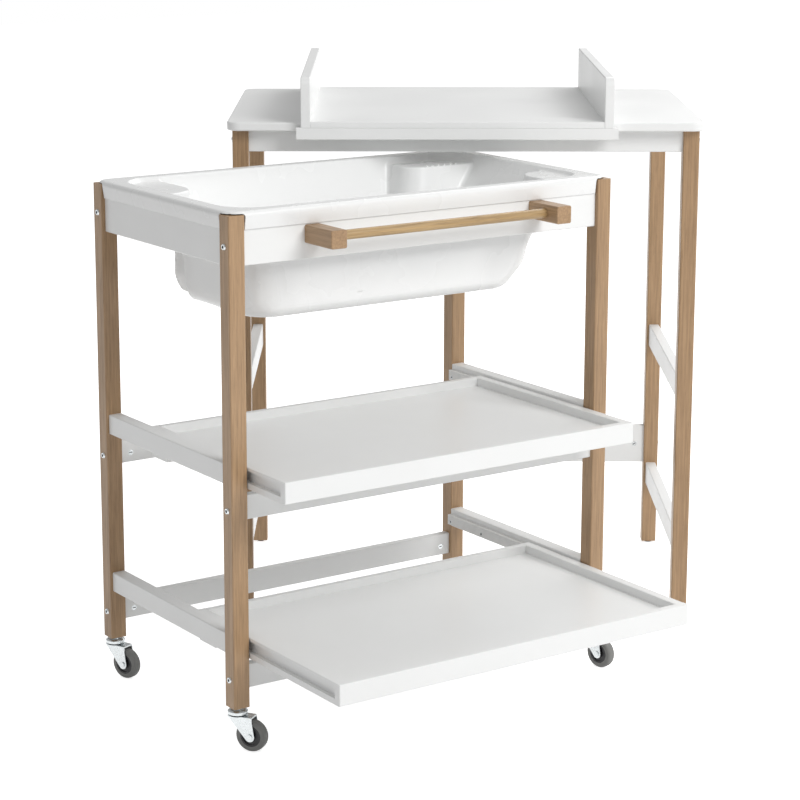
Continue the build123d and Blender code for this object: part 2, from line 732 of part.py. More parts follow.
def shelf_studs():
    """Small round bumps along the front edge of the shelf."""
    y = BOWL_Y - BOWL_WALL - SHELF_WIDTH + STUD_INSET
    end = BOWL_X - BOWL_WALL - SHELF_LENGTH + SHELF_CORNER
    z = RIM_TOP - SHELF_DROP
    return [Pos(end + STUD_PITCH * index, y, z) * Sphere(STUD_R) for index in range(STUD_COUNT)]


def leg_arch(side, end):
    """The space that the skirt leaves round a leg."""
    half = LEG / 2 + ARCH_GAP
    x, y = side * LEG_X, end * LEG_Y
    space = block(
        (x - half, y - half, SKIRT_BOTTOM - OVERRUN), (x + half, y + half, RIM_UNDER)
    )
    top = space.faces().sort_by(Axis.Z)[-1]
    return fillet(top.edges(), ARCH_CORNER)


def bath_tub():
    rim = rim_block(0, RIM_TOP, RIM_CORNER, RIM_ROUND)
    rim -= rim_block(SKIRT_WALL, RIM_UNDER, RIM_CORNER - SKIRT_WALL, RIM_ROUND - RIM_WALL)
    outside = bowl(0)
    for step in corner_steps(BOWL_WALL):
        outside -= step
    tub = rim + outside - basin_hollow()
    mouth = tub.faces().filter_by(GeomType.PLANE).sort_by(Axis.Z)[-1].inner_wires()[0]
    tub = fillet(mouth.edges(), BOWL_LIP_ROUND)
    for side in SIDES.values():
        for end in ENDS.values():
            tub -= leg_arch(side, end)
    for stud in shelf_studs():
        tub += stud
    drain_low = (DRAIN_X, 0, BOWL_BOTTOM - OVERRUN)
    drain_high = (DRAIN_X, 0, BOWL_BOTTOM + BOWL_WALL + OVERRUN)
    return tub - rod(drain_low, drain_high, DRAIN_BARREL_R + HOLE_GAP)


def drain_fitting():
    """A flanged sleeve through the tub's floor, with its nut below."""
    floor = BOWL_BOTTOM + BOWL_WALL
    low = BOWL_BOTTOM - DRAIN_NUT_H
    outline = [
        (DRAIN_BORE_R, low),
        (DRAIN_NUT_R, low),
        (DRAIN_NUT_R, BOWL_BOTTOM),
        (DRAIN_BARREL_R, BOWL_BOTTOM),
        (DRAIN_BARREL_R, floor),
        (DRAIN_FLANGE_R, floor),
        (DRAIN_FLANGE_R - DRAIN_FLANGE_H, floor + DRAIN_FLANGE_H),
        (DRAIN_BORE_R, floor + DRAIN_FLANGE_H),
    ]
    return Pos(DRAIN_X, 0, 0) * turned(outline)


def drain_plug():
    """A plug that sits in the drain, with a knob to pull it by."""
    seat = BOWL_BOTTOM + BOWL_WALL + DRAIN_FLANGE_H + PLUG_GAP
    stem_r = DRAIN_BORE_R - PLUG_GAP
    cap_top = seat + PLUG_CAP_H
    outline = [
        (0, seat - PLUG_DEPTH),
        (stem_r - PLUG_GAP, seat - PLUG_DEPTH),
        (stem_r, seat),
        (PLUG_CAP_R, seat),
        (PLUG_CAP_R - PLUG_CAP_H / 2, cap_top),
        (PLUG_KNOB_R / 2, cap_top),
        (PLUG_KNOB_R, cap_top + PLUG_KNOB_H),
        (0, cap_top + PLUG_KNOB_H),
    ]
    return Pos(DRAIN_X, 0, 0) * turned(outline)


def build_bath():
    return {
        "bath_tub": [bath_tub()],
        "drain_fitting": [drain_fitting()],
        "drain_plug": [drain_plug()],
    }


# Casters, built with the kingpin on the Z axis and the wheel trailing towards +X
def caster_stem():
    """The stem in the leg, the raceway under it and the kingpin."""
    race_low = FORK_TOP + RACE_GAP
    race_high = LEG_BOTTOM - STEM_COLLAR_H
    pin_low = FORK_TOP - FORK_SHEET - RACE_GAP
    half = (race_high - race_low) / 2
    outline = [
        (0, LEG_BOTTOM + STEM_SEAT),
        (STEM_R, LEG_BOTTOM + STEM_SEAT),
        (STEM_R, LEG_BOTTOM),
        (STEM_COLLAR_R, LEG_BOTTOM),
        (STEM_COLLAR_R, race_high),
        (RACE_R - RACE_ROUND, race_high),
        (RACE_R, race_high - half / 2),
        (RACE_R, race_low + half / 2),
        (RACE_R - RACE_ROUND, race_low),
        (STEM_R, race_low),
        (STEM_R, pin_low),
        (KINGPIN_HEAD_R, pin_low),
        (KINGPIN_HEAD_R - KINGPIN_HEAD_H / 2, pin_low - KINGPIN_HEAD_H),
        (0, pin_low - KINGPIN_HEAD_H),
    ]
    return turned(outline)


def fork_half_width():
    """From the middle of the wheel to the outside of a side plate."""
    return WHEEL_WIDTH / 2 + FORK_WHEEL_GAP + FORK_SHEET


def caster_fork():
    """A bent bracket: a top plate and two side plates that narrow to the axle."""
    half = fork_half_width()
    top_line = Line((-FORK_FRONT, FORK_TOP), (CASTER_TRAIL + AXLE_R, FORK_TOP))
    end_ring = Pos(CASTER_TRAIL, WHEEL_R) * Circle(FORK_END_R)
    side_form = Plane.XZ.offset(-half) * make_hull(top_line.edges() + end_ring.edges())
    bracket = extrude(side_form, 2 * half, dir=(0, -1, 0))
    inside = half - FORK_SHEET
    hollow = block(
        (-FORK_FRONT - OVERRUN, -inside, 0),
        (CASTER_TRAIL + WHEEL_R + OVERRUN, inside, FORK_TOP - FORK_SHEET),
    )
    bracket -= hollow
    plate = Pos(0, 0, FORK_TOP - FORK_SHEET / 2) * Cylinder(FORK_FRONT + FORK_SHEET, FORK_SHEET)
    bracket += plate
    bracket -= Pos(0, 0, FORK_TOP) * Cylinder(STEM_R + PIN_GAP, 2 * FORK_SHEET + OVERRUN)
    axle_low = (CASTER_TRAIL, -RACE_R, WHEEL_R)
    axle_high = (CASTER_TRAIL, RACE_R, WHEEL_R)
    return bracket - rod(axle_low, axle_high, AXLE_R + PIN_GAP)


def caster_axle():
    """The rivet that the wheel turns on."""
    end = fork_half_width()
    shaft = rod((CASTER_TRAIL, -end, WHEEL_R), (CASTER_TRAIL, end, WHEEL_R), AXLE_R)
    for side in SIDES.values():
        face = (CASTER_TRAIL, side * end, WHEEL_R)
        crown = (CASTER_TRAIL, side * (end + AXLE_HEAD_H), WHEEL_R)
        shaft += rod(face, crown, AXLE_HEAD_R)
    return shaft


def on_axle(wheel):
    """A wheel piece, built about Z, laid on the caster's axle."""
    return Pos(CASTER_TRAIL, 0, WHEEL_R) * Rot(90, 0, 0) * wheel


def caster_hub():
    """The wheel's body: a boss, a recessed web and a rim that holds the tyre."""
    rim_r = WHEEL_R - TYRE_THICK
    half = WHEEL_WIDTH / 2
    web = half - HUB_RECESS
    bore = AXLE_R + PIN_GAP
    outline = [
        (bore, -half),
        (HUB_BOSS_R, -half),
        (HUB_BOSS_R, -web),
        (rim_r - HUB_RIM, -web),
        (rim_r - HUB_RIM, -half),
        (rim_r, -half),
        (rim_r, half),
        (rim_r - HUB_RIM, half),
        (rim_r - HUB_RIM, web),
        (HUB_BOSS_R, web),
        (HUB_BOSS_R, half),
        (bore, half),
    ]
    return on_axle(turned(outline))


def caster_tyre():
    """A soft ring round the hub with rounded shoulders."""
    inner = WHEEL_R - TYRE_THICK + PIN_GAP
    half = WHEEL_WIDTH / 2
    ring = Cylinder(WHEEL_R, WHEEL_WIDTH)
    ring = fillet(ring.edges().filter_by(GeomType.CIRCLE), TYRE_ROUND)
    return on_axle(ring - Cylinder(inner, 2 * half + OVERRUN))


def caster_places():
    """Each caster's name with its corner and its turn in degrees."""
    return {
        "front_left": (-LEG_X, -LEG_Y, FRONT_LEFT_TURN),
        "front_right": (LEG_X, -LEG_Y, FRONT_RIGHT_TURN),
        "back_left": (-LEG_X, LEG_Y, BACK_LEFT_TURN),
        "back_right": (LEG_X, LEG_Y, BACK_RIGHT_TURN),
    }


def build_casters():
    stem, fork, axle, hub, tyre = (
        caster_stem(), caster_fork(), caster_axle(), caster_hub(), caster_tyre()
    )
    nodes = {"caster_stems": []}
    for name, (x, y, turn) in caster_places().items():
        place = Location((x, y, 0), (0, 0, turn))
        nodes["caster_stems"].append(place * stem)
        nodes[f"caster_fork_{name}"] = [place * fork, place * axle]
        nodes[f"caster_hub_{name}"] = [place * hub]
        nodes[f"caster_tyre_{name}"] = [place * tyre]
    return nodes


def build_all():
    """Every node with its solids, about the middle of the base of the whole."""
    table_place = Location((TABLE_FRONT_X, TABLE_FRONT_Y, 0), (0, 0, TABLE_TURN))
    nodes = {}
    for name, solids in {**build_table(), **build_changer()}.items():
        nodes[name] = [table_place * solid for solid in solids]
    nodes.update(build_trolley_frame())
    nodes.update(build_bath())
    nodes.update(build_tray("mid", MID_TRAY_RAIL, MID_STRETCHER, MID_TRAY_OUT))
    nodes.update(build_tray("low", LOW_TRAY_RAIL, LOW_STRETCHER, LOW_TRAY_OUT))
    nodes.update(build_casters())
    pieces = [piece for solids in nodes.values() for solid in solids for piece in solid.solids()]
    middle = Compound(pieces).bounding_box().center()
    shift = Pos(-middle.X, -middle.Y, 0)
    return {name: [shift * solid for solid in solids] for name, solids in nodes.items()}


def write_steps():
    os.makedirs("parts", exist_ok=True)
    for name, shapes in build_all().items():
        pieces = [piece for shape in shapes for piece in shape.solids()]
        whole = pieces[0] if len(pieces) == 1 else Compound(pieces)
        export_step(whole, f"parts/{name}.step")


write_steps()
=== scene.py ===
import json
import math

import bmesh
import bpy
from bpy.props import FloatProperty, FloatVectorProperty, PointerProperty
from bpy.types import Operator, Panel, PropertyGroup
from mathutils import Matrix, Vector


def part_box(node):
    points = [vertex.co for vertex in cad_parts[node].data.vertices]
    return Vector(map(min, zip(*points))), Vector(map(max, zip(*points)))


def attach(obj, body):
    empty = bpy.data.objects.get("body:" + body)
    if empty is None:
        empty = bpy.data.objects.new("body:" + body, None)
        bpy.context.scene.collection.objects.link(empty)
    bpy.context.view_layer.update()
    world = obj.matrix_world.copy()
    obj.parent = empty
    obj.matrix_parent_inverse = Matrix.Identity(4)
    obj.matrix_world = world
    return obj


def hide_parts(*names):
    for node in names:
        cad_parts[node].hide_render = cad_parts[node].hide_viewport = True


bl_info = {
    "name": "Changing Table with Bath Trolley",
    "version": (1, 0, 0),
    "blender": (4, 5, 0),
    "location": "3D View > Sidebar > Nursery",
    "description": "Dresses a changing table and its bath trolley and lights them",
    "category": "Object",
}

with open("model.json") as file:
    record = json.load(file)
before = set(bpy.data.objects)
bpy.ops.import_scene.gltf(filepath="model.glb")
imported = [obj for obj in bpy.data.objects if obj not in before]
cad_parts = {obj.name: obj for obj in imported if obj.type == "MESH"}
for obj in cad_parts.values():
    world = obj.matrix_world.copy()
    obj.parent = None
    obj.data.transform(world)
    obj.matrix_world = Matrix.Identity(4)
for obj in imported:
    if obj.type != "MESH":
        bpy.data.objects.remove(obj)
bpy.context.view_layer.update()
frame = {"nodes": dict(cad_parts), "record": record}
MM = 0.001
TABLE_TURN = -34.23
WELD = 0.01 * MM

# Fasteners, with the sizes that aren't settings; the shares are of the head's or nut's radius
LONGEST_NUT = 14 * MM
END_DEPTH = 0.3 * MM
FASTENER_SHARP = 35
HEAD_TAPER = 0.82
SLOT_SHARES = {"X": 1.3, "Y": 0.3, "Z": 0.5}
BOLT_SIZES = {
    "Head Height": 2.2 * MM,
    "Socket Depth": 1.4 * MM,
    "Shank Radius": 3 * MM,
    "Nut Length": 12 * MM,
}
RUNNER_SCREW_SIZES = {
    "Head Height": 1.6 * MM,
    "Socket Radius": 2.2 * MM,
    "Socket Depth": 1 * MM,
    "Shank Radius": 1.75 * MM,
}
HANDLE_SCREW_SIZES = {"Head Height": 2.5 * MM, "Shank Radius": 2.5 * MM}

# The basin at its rim, from the tub's middle, and how far its walls come in by the floor
BASIN_HALF = (361 * MM, 203 * MM)
BASIN_DEPTH = 192.7 * MM
SLOPE_LEFT, SLOPE_RIGHT, SLOPE_SIDE = 56 * MM, 112 * MM, 37 * MM
DIVIDE_ROUNDS = 7
TUB_SHARP = 38

# Camera, from the middle of the trolley, and its angles
CAMERA_PLACE = Vector((-2.26113, -3.42808, 1.47648))
CAMERA_ANGLES = (77.9049, -0.0525, -34.1090)
CAMERA_LENS = 107.12
CAMERA_SHIFT = (0.02127, -0.06571)
CAMERA_SENSOR = 36
CAMERA_REACH = 100

# Floor, and lamps placed forward, right and up from the trolley, in metres
FLOOR_HALF = 14
FLOOR_DROP = 0.2 * MM
VIEW_FORWARD = Vector((0.548, 0.809, 0)).normalized()
VIEW_RIGHT = Vector((0.828, -0.561, 0)).normalized()
LAMP_AIM = 0.6
KEY_PLACE, KEY_SIZE = (-2.6, 3.0, 3.4), 2.2
BACK_PLACE, BACK_SIZE = (3.2, 2.0, 3.2), 2.6


def node_names(*starts):
    """The CAD nodes whose names start with any of the given words."""
    return [name for name in frame["nodes"] if name.startswith(starts)]


def box_of(name):
    """Lowest and highest corner of a CAD node as vectors."""
    low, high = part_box(name)
    return Vector(low), Vector(high)


def trolley_middle():
    """The trolley's middle on the floor, which is the tub's."""
    low, high = box_of("bath_tub")
    return Vector(((low.x + high.x) / 2, (low.y + high.y) / 2, 0))


def colour(name, description, default):
    """A colour property of a settings group."""
    return FloatVectorProperty(
        name=name, description=description, subtype="COLOR", size=3, min=0, max=1, default=default
    )


def length(name, description, default):
    """A length property of a settings group, in metres."""
    return FloatProperty(name=name, description=description, default=default, unit="LENGTH")


def factor(name, description, default):
    """A share from 0 to 1."""
    return FloatProperty(
        name=name, description=description, default=default, min=0, max=1, subtype="FACTOR"
    )


class WoodSettings(PropertyGroup):
    """Stained beech of the legs and the handle."""

    light: colour("Light", "Colour between the grain lines", (0.48, 0.305, 0.165))
    dark: colour("Dark", "Colour of the grain lines", (0.25, 0.15, 0.075))
    bar_light: colour("Bar Light", "Colour of the handle bar", (0.54, 0.36, 0.165))
    bar_dark: colour("Bar Dark", "Colour of the bar's grain lines", (0.22, 0.135, 0.055))
    line_width: length("Line Spacing", "Distance between grain lines", 0.0035)
    roughness: factor("Roughness", "Roughness of the matt lacquer", 0.42)


class BoardSettings(PropertyGroup):
    """White lacquer of boards and trays."""

    white: colour("White", "Colour of the lacquer", (0.86, 0.865, 0.86))
    shade: colour("Shade", "Colour where the lacquer is thinner", (0.85, 0.855, 0.848))
    roughness: factor("Roughness", "Roughness of the lacquer", 0.34)


class BathSettings(PropertyGroup):
    """Moulded tub and its drain."""

    white: colour("White", "Colour of the tub", (0.87, 0.875, 0.87))
    shade: colour("Shade", "Colour in the mottled spots", (0.862, 0.868, 0.864))
    roughness: factor("Roughness", "Roughness of the moulding", 0.24)
    bulge_left: length("Bulge Left", "How far the left wall comes in at half depth", 0.010)
    bulge_right: length("Bulge Right", "How far the right wall comes in at half depth", 0.016)
    bulge_side: length("Bulge Sides", "How far the long walls come in at half depth", 0.010)
    flare_left: length("Flare Left", "How far the left wall goes out at the floor", 0.0033)
    flare_right: length("Flare Right", "How far the right wall goes out at the floor", 0.0155)
    narrow_side: length("Narrow Sides", "How far the long walls come in at the floor", 0.0029)
    deeper: length("Deeper", "How much lower the floor lies", 0.0027)
    seat_fade: length("Seat Fade", "Distance over which the drain's seat blends in", 0.06)
    spacing: length("Mesh Spacing", "Longest edge of the divided walls", 0.014)


class HardwareSettings(PropertyGroup):
    """Casters, bolts and screws."""

    zinc: colour("Zinc", "Colour of the zinc plating", (0.66, 0.69, 0.70))
    rubber: colour("Rubber", "Colour of the tyres", (0.22, 0.22, 0.212))
    black: colour("Black Plastic", "Colour of hubs and glides", (0.022, 0.022, 0.024))
    # The recess colour is painted shade: it darkens the faces inside the bolt sockets and the
    # barrel nuts' slots, where shade falls.
    socket_shade: colour("Painted Socket Shade", "Colour inside the sockets", (0.035, 0.034, 0.033))
    bolt_head: length("Bolt Head", "Radius of a bolt's head", 0.0055)
    bolt_socket: length("Bolt Socket", "Radius of a bolt's hexagon socket", 0.0029)
    nut: length("Barrel Nut", "Radius of a barrel nut", 0.005)
    runner_head: length("Runner Screw Head", "Radius of a runner screw's head", 0.0036)
    handle_head: length("Handle Screw Head", "Radius of a handle screw's head", 0.005)


class StudioSettings(PropertyGroup):
    """Floor and lamps."""

    floor: colour("Floor", "Colour of the floor", (0.88, 0.88, 0.88))
    key: FloatProperty(name="Key", description="Power of the front lamp", default=128, unit="POWER")
    back: FloatProperty(name="Back", description="Power of the rear lamp", default=82, unit="POWER")
    sky: factor("Sky", "Strength of the plain surroundings", 0.47)
    glow: factor("Glow", "How far the floor is lifted to white for the camera", 0.75)


SETTINGS = {
    "wood": WoodSettings,
    "boards": BoardSettings,
    "bath": BathSettings,
    "hardware": HardwareSettings,
    "studio": StudioSettings,
}


class NurserySettings(PropertyGroup):
    """All settings of the changing table."""

    wood: PointerProperty(type=WoodSettings)
    boards: PointerProperty(type=BoardSettings)
    bath: PointerProperty(type=BathSettings)
    hardware: PointerProperty(type=HardwareSettings)
    studio: PointerProperty(type=StudioSettings)


# Shader building
class Graph:
    """Short ways to add and join the nodes of one tree."""

    def __init__(self, tree):
        self.tree = tree

    def add(self, kind, **values):
        """A new node; a value names a setting, or an input when it has none."""
        node = self.tree.nodes.new(kind)
        for key, value in values.items():
            if hasattr(node, key):
                setattr(node, key, value)
            else:
                node.inputs[key.replace("_", " ")].default_value = value
        return node

    def join(self, source, target):
        self.tree.links.new(source, target)


def new_group(name, inputs, outputs):
    """An empty shader node group with its named sockets."""
    tree = bpy.data.node_groups.new(name, "ShaderNodeTree")
    for label, kind, default in inputs:
        socket = tree.interface.new_socket(label, in_out="INPUT", socket_type=kind)
        socket.default_value = default
    for label, kind in outputs:
        tree.interface.new_socket(label, in_out="OUTPUT", socket_type=kind)
    graph = Graph(tree)
    return graph, graph.add("NodeGroupInput"), graph.add("NodeGroupOutput")


COLOUR, VALUE, VECTOR = "NodeSocketColor", "NodeSocketFloat", "NodeSocketVector"


def grain_group():
    """Fine straight grain that runs along local Z, with short dark flecks."""
    graph, given, out = new_group(
        "Beech grain",
        [
            ("Vector", VECTOR, (0, 0, 0)),
            ("Light", COLOUR, (1, 1, 1, 1)),
            ("Dark", COLOUR, (0, 0, 0, 1)),
            ("Lines", VALUE, 300),
            ("Stretch", VALUE, 0.02),
        ],
        [("Color", COLOUR), ("Mask", VALUE), ("Height", VALUE)],
    )
    squeeze = graph.add("ShaderNodeCombineXYZ", X=1, Y=1)
    graph.join(given.outputs["Stretch"], squeeze.inputs["Z"])
    along = graph.add("ShaderNodeVectorMath", operation="MULTIPLY")
    graph.join(given.outputs["Vector"], along.inputs[0])
    graph.join(squeeze.outputs["Vector"], along.inputs[1])
    lines = graph.add("ShaderNodeTexNoise", Detail=5, Roughness=0.62, Distortion=0.25)
    graph.join(along.outputs["Vector"], lines.inputs["Vector"])
    graph.join(given.outputs["Lines"], lines.inputs["Scale"])
    flecks = graph.add("ShaderNodeTexNoise", Detail=2, Roughness=0.5)
    finer = graph.add("ShaderNodeMath", operation="MULTIPLY")
    finer.inputs[1].default_value = 3.4
    graph.join(given.outputs["Lines"], finer.inputs[0])
    graph.join(along.outputs["Vector"], flecks.inputs["Vector"])
    graph.join(finer.outputs["Value"], flecks.inputs["Scale"])
    wide = graph.add("ShaderNodeTexNoise", Scale=9, Detail=2)
    graph.join(along.outputs["Vector"], wide.inputs["Vector"])
    line_mask = graph.add("ShaderNodeMapRange", From_Min=0.36, From_Max=0.66)
    fleck_mask = graph.add("ShaderNodeMapRange", From_Min=0.60, From_Max=0.74, To_Max=0.45)
    wide_mask = graph.add("ShaderNodeMapRange", From_Min=0.3, From_Max=0.7, To_Max=0.35)
    for noise, mask in ((lines, line_mask), (flecks, fleck_mask), (wide, wide_mask)):
        graph.join(noise.outputs["Fac"], mask.inputs["Value"])
    total = graph.add("ShaderNodeMath", operation="MULTIPLY_ADD")
    total.inputs[1].default_value = 0.55
    graph.join(line_mask.outputs["Result"], total.inputs[0])
    graph.join(fleck_mask.outputs["Result"], total.inputs[2])
    more = graph.add("ShaderNodeMath", operation="ADD", use_clamp=True)
    graph.join(total.outputs["Value"], more.inputs[0])
    graph.join(wide_mask.outputs["Result"], more.inputs[1])
    blend = graph.add("ShaderNodeMix", data_type="RGBA")
    graph.join(more.outputs["Value"], blend.inputs["Factor"])
    graph.join(given.outputs["Light"], blend.inputs[6])
    graph.join(given.outputs["Dark"], blend.inputs[7])
    graph.join(blend.outputs[2], out.inputs["Color"])
    graph.join(more.outputs["Value"], out.inputs["Mask"])
    graph.join(flecks.outputs["Fac"], out.inputs["Height"])
    return graph.tree


def mottle_group():
    """Faint soft patches between two colours, with a fine grain for the height."""
    graph, given, out = new_group(
        "Soft mottle",
        [
            ("Vector", VECTOR, (0, 0, 0)),
            ("First", COLOUR, (1, 1, 1, 1)),
            ("Second", COLOUR, (0, 0, 0, 1)),
            ("Patches", VALUE, 14),
            ("Grain", VALUE, 900),
        ],
        [("Color", COLOUR), ("Mask", VALUE), ("Height", VALUE)],
    )
    patches = graph.add("ShaderNodeTexNoise", Detail=3, Roughness=0.5)
    grain = graph.add("ShaderNodeTexNoise", Detail=2, Roughness=0.6)
    for noise, label in ((patches, "Patches"), (grain, "Grain")):
        graph.join(given.outputs["Vector"], noise.inputs["Vector"])
        graph.join(given.outputs[label], noise.inputs["Scale"])
    mask = graph.add("ShaderNodeMapRange", From_Min=0.35, From_Max=0.65)
    graph.join(patches.outputs["Fac"], mask.inputs["Value"])
    blend = graph.add("ShaderNodeMix", data_type="RGBA")
    graph.join(mask.outputs["Result"], blend.inputs["Factor"])
    graph.join(given.outputs["First"], blend.inputs[6])
    graph.join(given.outputs["Second"], blend.inputs[7])
    graph.join(blend.outputs[2], out.inputs["Color"])
    graph.join(mask.outputs["Result"], out.inputs["Mask"])
    graph.join(grain.outputs["Fac"], out.inputs["Height"])
    return graph.tree


GROUP_MAKERS = {"Beech grain": grain_group, "Soft mottle": mottle_group}


def shared_group(name):
    """The named node group, built the first time that it is asked for."""
    return bpy.data.node_groups.get(name) or GROUP_MAKERS[name]()


def solid(rgb):
    """A colour with full alpha."""
    return (*rgb, 1.0)


def finish_material(name, group, values, shader, bump, turn=(0, 0, 0), rough=None):
    """A Principled material whose colour and bump come from a shared group.

    values feed the group's inputs, shader the Principled's sockets, bump is the
    strength and distance, turn lays local Z along the piece, and rough gives the
    roughness at the mask's two ends.
    """
    made = bpy.data.materials.get(name)
    if made:
        return made
    made = bpy.data.materials.new(name)
    made.use_nodes = True
    graph = Graph(made.node_tree)
    graph.tree.nodes.clear()
    surface = graph.add("ShaderNodeBsdfPrincipled")
    for label, value in shader.items():
        surface.inputs[label].default_value = value
    place = graph.add("ShaderNodeTexCoord")
    mapping = graph.add("ShaderNodeMapping")
    mapping.inputs["Rotation"].default_value = [math.radians(angle) for angle in turn]
    graph.join(place.outputs["Object"], mapping.inputs["Vector"])
    effect = graph.add("ShaderNodeGroup")
    effect.node_tree = shared_group(group)
    graph.join(mapping.outputs["Vector"], effect.inputs["Vector"])
    for label, value in values.items():
        effect.inputs[label].default_value = value
    graph.join(effect.outputs["Color"], surface.inputs["Base Color"])
    if rough:
        spread = graph.add("ShaderNodeMapRange", To_Min=rough[0], To_Max=rough[1])
        graph.join(effect.outputs["Mask"], spread.inputs["Value"])
        graph.join(spread.outputs["Result"], surface.inputs["Roughness"])
    relief = graph.add("ShaderNodeBump", Strength=bump[0], Distance=bump[1])
    graph.join(effect.outputs["Height"], relief.inputs["Height"])
    graph.join(relief.outputs["Normal"], surface.inputs["Normal"])
    end = graph.add("ShaderNodeOutputMaterial")
    graph.join(surface.outputs["BSDF"], end.inputs["Surface"])
    return made


def beech(context, name, along, light, dark):
    """Stained beech whose grain runs along one axis."""
    wood = context.scene.nursery.wood
    turns = {"Z": (0, 0, 0), "X": (0, 90, 0), "Y": (90, 0, 0)}
    return finish_material(
        name,
        "Beech grain",
        {
            "Light": solid(light),
            "Dark": solid(dark),
            "Lines": 1 / wood.line_width,
            "Stretch": 0.035,
        },
        {"Coat Weight": 0.15, "Coat Roughness": 0.3},
        (0.12, 0.0004),
        turns[along],
        (wood.roughness - 0.05, wood.roughness + 0.1),
    )


def lacquer(context):
    """Satin white lacquer on board."""
    boards = context.scene.nursery.boards
    return finish_material(
        "White Lacquer",
        "Soft mottle",
        {"First": solid(boards.white), "Second": solid(boards.shade), "Patches": 6, "Grain": 700},
        {"Coat Weight": 0.1, "Coat Roughness": 0.2},
        (0.05, 0.0003),
        rough=(boards.roughness, boards.roughness + 0.08),
    )


def tub_plastic(context):
    """Semi-gloss moulded plastic of the tub."""
    bath = context.scene.nursery.bath
    return finish_material(
        "White Tub Plastic",
        "Soft mottle",
        {"First": solid(bath.white), "Second": solid(bath.shade), "Patches": 9, "Grain": 1300},
        {"Subsurface Weight": 0.0, "Specular IOR Level": 0.5},
        (0.03, 0.0002),
        rough=(bath.roughness, bath.roughness + 0.06),
    )


def zinc(context):
    """Bright zinc plating."""
    tone = context.scene.nursery.hardware.zinc
    return finish_material(
        "Zinc Plated Steel",
        "Soft mottle",
        {
            "First": solid(tone),
            "Second": solid([part * 0.95 for part in tone]),
            "Patches": 260,
            "Grain": 2200,
        },
        {"Metallic": 1.0},
        (0.03, 0.0001),
        rough=(0.24, 0.32),
    )


def plain_plastic(name, tone, roughness):
    """Matt moulded plastic with a fine texture."""
    return finish_material(
        name,
        "Soft mottle",
        {
            "First": solid(tone),
            "Second": solid([part * 0.96 for part in tone]),
            "Patches": 70,
            "Grain": 1600,
        },
        {},
        (0.1, 0.0003),
        rough=(roughness, roughness + 0.12),
    )


def dress(names, material):
    """Gives CAD nodes their material."""
    for name in names:
        slots = frame["nodes"][name].material_slots
        if not slots:
            frame["nodes"][name].data.materials.append(material)
        for slot in slots:
            slot.material = material


class NURSERY_OT_wood(Operator):
    """Stains the legs and the handle."""

    bl_idname = "nursery.wood"
    bl_label = "Legs and Handle"

    def execute(self, context):
        wood = context.scene.nursery.wood
        upright = beech(context, "Stained Beech Upright", "Z", wood.light, wood.dark)
        dress(node_names("table_leg", "trolley_leg"), upright)
        bar = beech(context, "Stained Beech Bar", "X", wood.bar_light, wood.bar_dark)
        dress(["handle_bar"], bar)
        blocks = beech(context, "Stained Beech Blocks", "Y", wood.light, wood.dark)
        dress(node_names("handle_block"), blocks)
        return {"FINISHED"}


class NURSERY_OT_boards(Operator):
    """Lacquers the boards, trays and changing tray."""

    bl_idname = "nursery.boards"
    bl_label = "White Boards and Trays"

    def execute(self, context):
        names = node_names(
            "table_top", "table_apron", "table_rails", "table_back_board", "changer",
            "trolley_apron", "trolley_stretchers", "tray_rails", "mid_tray", "low_tray",
        )
        dress(names, lacquer(context))
        return {"FINISHED"}


def joined_shape(node):
    """A CAD node's mesh with its loose triangles joined."""
    shape = bmesh.new()
    shape.from_mesh(frame["nodes"][node].data)
    bmesh.ops.remove_doubles(shape, verts=shape.verts, dist=WELD)
    bmesh.ops.dissolve_degenerate(shape, edges=shape.edges, dist=WELD)
    return shape


def finished_piece(name, mesh, body, nodes):
    """An object for a finished mesh that rides on a body and stands for CAD nodes."""
    piece = bpy.data.objects.new(name, mesh)
    bpy.context.scene.collection.objects.link(piece)
    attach(piece, body)
    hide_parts(*nodes)
    return piece


def in_basin(place, middle):
    """Whether a place lies within the basin's edge, seen from above."""
    away = place - middle
    return abs(away.x) < BASIN_HALF[0] and abs(away.y) < BASIN_HALF[1]


def divide_long_edges(shape, longest, middle):
    """Halves the basin's edges until none is longer than given, so that walls can bend."""
    for _ in range(DIVIDE_ROUNDS):
        long_edges = [edge for edge in shape.edges if edge.calc_length() > longest]
        edges = [
            edge for edge in long_edges if all(in_basin(vert.co, middle) for vert in edge.verts)
        ]
        if not edges:
            break
        bmesh.ops.subdivide_edges(shape, edges=edges, cuts=1)
        bmesh.ops.triangulate(shape, faces=[face for face in shape.faces if len(face.verts) > 3])


def smooth_step(value):
    """A share from 0 to 1 that starts and ends gently."""
    value = min(1, max(0, value))
    return value * value * (3 - 2 * value)


def bulge_basin(shape, bath, middle):
    """Rounds the basin's walls below the rim, which stays, as does the drain's seat."""
    rim = box_of("bath_tub")[1].z
    drain_low, drain_high = box_of("drain_fitting")
    drain, drain_reach = (drain_low + drain_high) / 2, (drain_high.x - drain_low.x) / 2
    for vert in shape.verts:
        if not in_basin(vert.co, middle):
            continue
        x, y = vert.co.x - middle.x, vert.co.y - middle.y
        depth = min(1, max(0, (rim - vert.co.z) / BASIN_DEPTH))
        # 1 at half depth, 0 at the rim and at the floor
        half = 16 * depth**2 * (1 - depth) ** 2
        slope, bulge, flare = (
            (SLOPE_LEFT, bath.bulge_left, bath.flare_left)
            if x < 0
            else (SLOPE_RIGHT, bath.bulge_right, bath.flare_right)
        )
        share_x = min(1, abs(x) / (BASIN_HALF[0] - slope * depth))
        share_y = min(1, abs(y) / (BASIN_HALF[1] - SLOPE_SIDE * depth))
        away = (vert.co.xy - drain.xy).length - drain_reach
        keep = smooth_step(away / bath.seat_fade)
        inset_x = bulge * half - flare * depth**3
        inset_y = bath.bulge_side * half + bath.narrow_side * depth**3
        vert.co.x -= math.copysign(share_x * inset_x * keep, x)
        vert.co.y -= math.copysign(share_y * inset_y * keep, y)
        vert.co.z -= bath.deeper * depth * keep


